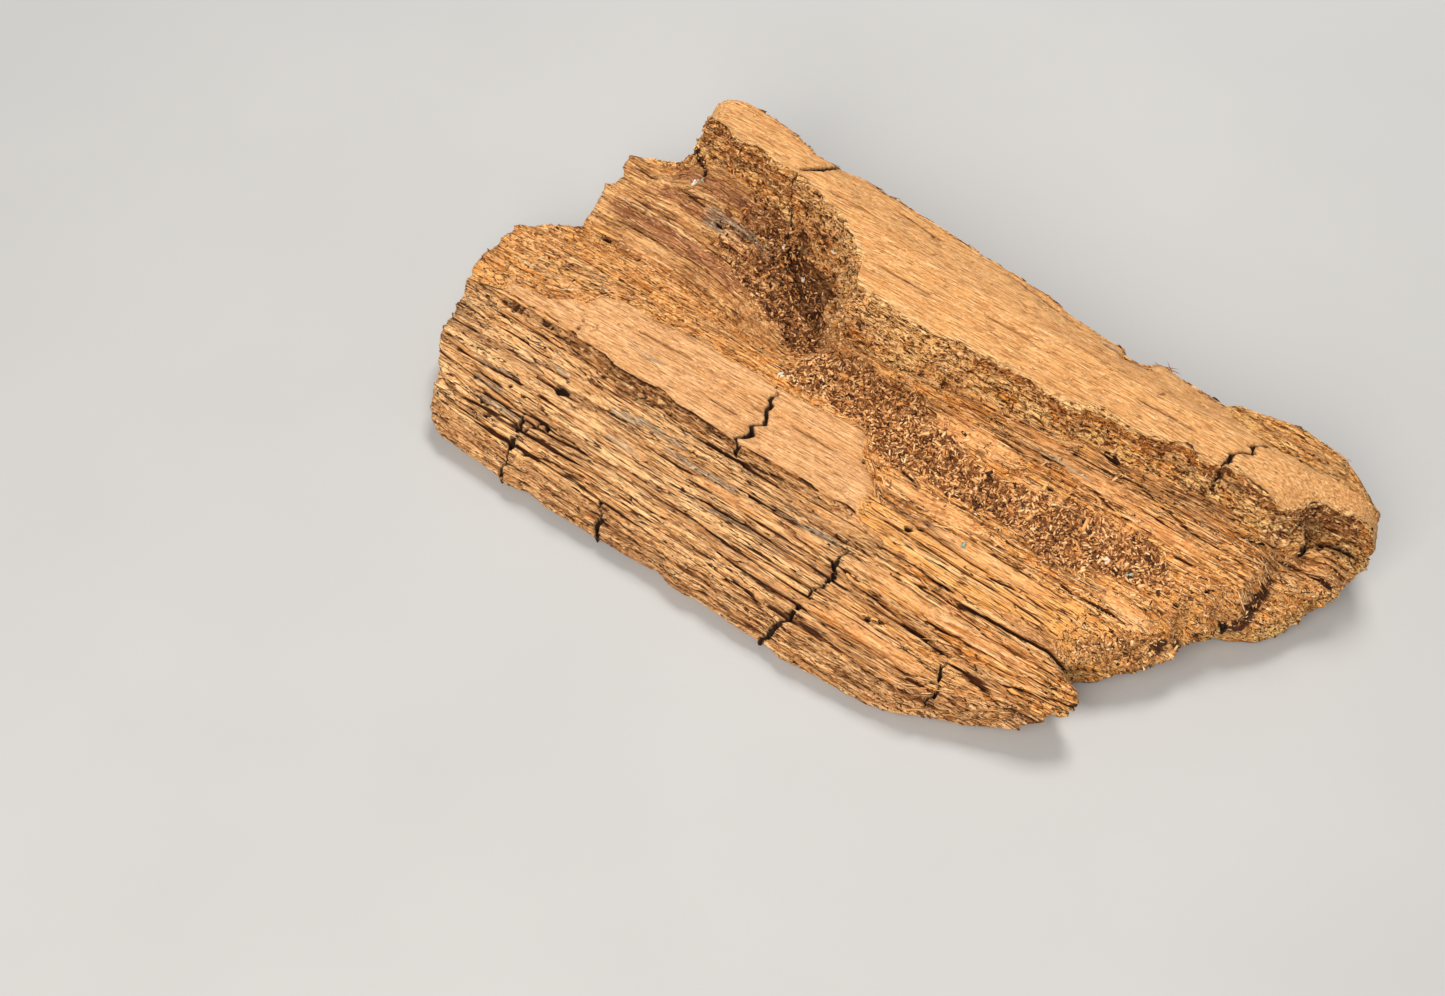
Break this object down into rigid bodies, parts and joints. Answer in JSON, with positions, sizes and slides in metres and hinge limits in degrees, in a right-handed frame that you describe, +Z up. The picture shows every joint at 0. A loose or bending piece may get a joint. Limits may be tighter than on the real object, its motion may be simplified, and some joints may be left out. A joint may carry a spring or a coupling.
{
  "type": "decayed wood piece",
  "caption": "Slab of decayed wood broken along the grain: weathered strands, a smooth ledge, a high smooth plank at one side, a deep hollow, cracks and ragged ends.",
  "frame": {"origin": "middle of the slab's bounding box, on the surface it lies on", "axes": "+X along the grain, from the end with the hollow to the thick broken end; +Y across the grain, towards the high side; +Z up"},
  "size_m": [0.2858, 0.1504, 0.0472],
  "materials": {
    "decayed_wood": "dry, dull, weathered and crumbly"
  },
  "bodies": {
    "root": {"decayed_wood": "decayed_wood"}
  },
  "joints": []
}
